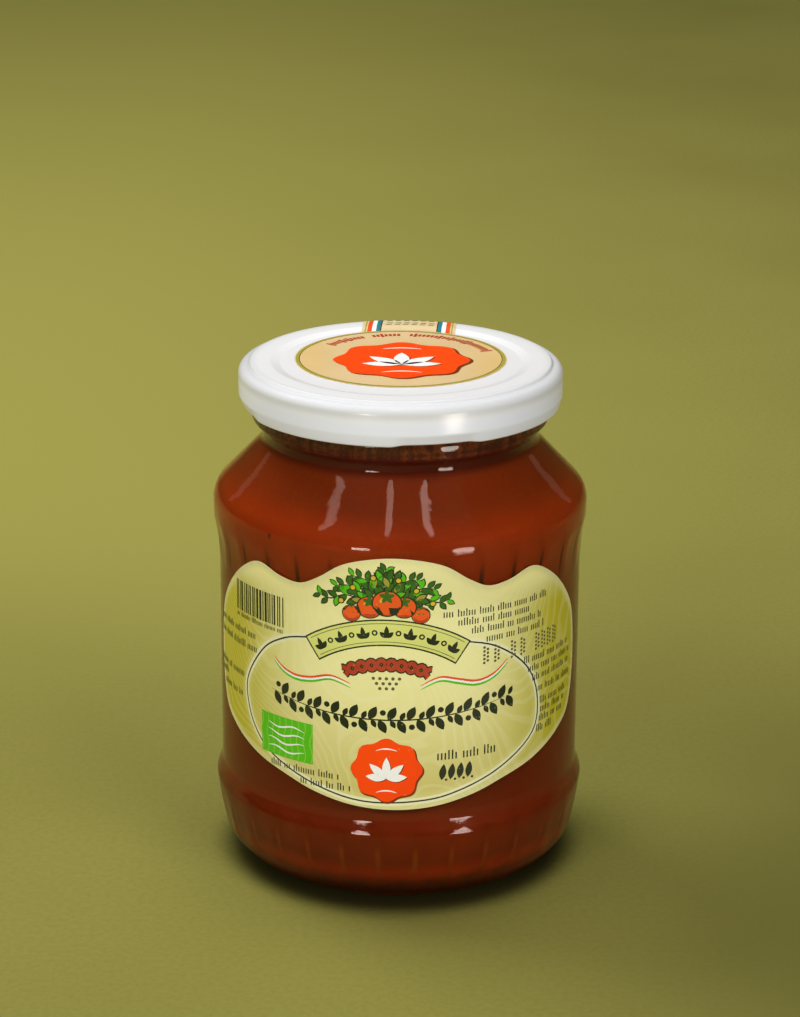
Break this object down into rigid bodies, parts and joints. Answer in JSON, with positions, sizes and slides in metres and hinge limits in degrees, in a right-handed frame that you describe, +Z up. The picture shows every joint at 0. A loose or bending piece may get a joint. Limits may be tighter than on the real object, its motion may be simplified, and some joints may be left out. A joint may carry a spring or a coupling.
{
  "type": "jar of tomato paste",
  "caption": "Closed round glass jar of dark red tomato paste, with a fluted shoulder and heel, a white twist-off lid, a shaped paper label and a paper seal strip.",
  "frame": {"origin": "middle of the base, on the ground", "axes": "+Z up along the jar's axis; the label faces -Y and +X is to its right"},
  "size_m": [0.0802, 0.0803, 0.111],
  "materials": {
    "jar_glass": "clear, faintly green pressed glass",
    "paste": "thick opaque tomato paste, wet where it meets the glass",
    "lid_enamel": "glossy white enamel on drawn sheet",
    "label_paper": "pale yellow semi-gloss printed paper",
    "sticker_paper": "cream printed paper with an orange-red wax seal",
    "strip_paper": "cream printed paper with striped edges"
  },
  "bodies": {
    "root": {"glass_jar": "jar_glass", "tomato_paste": "paste", "lid": "lid_enamel", "front_label": "label_paper", "lid_sticker": "sticker_paper", "seal_strip": "strip_paper"}
  },
  "joints": []
}
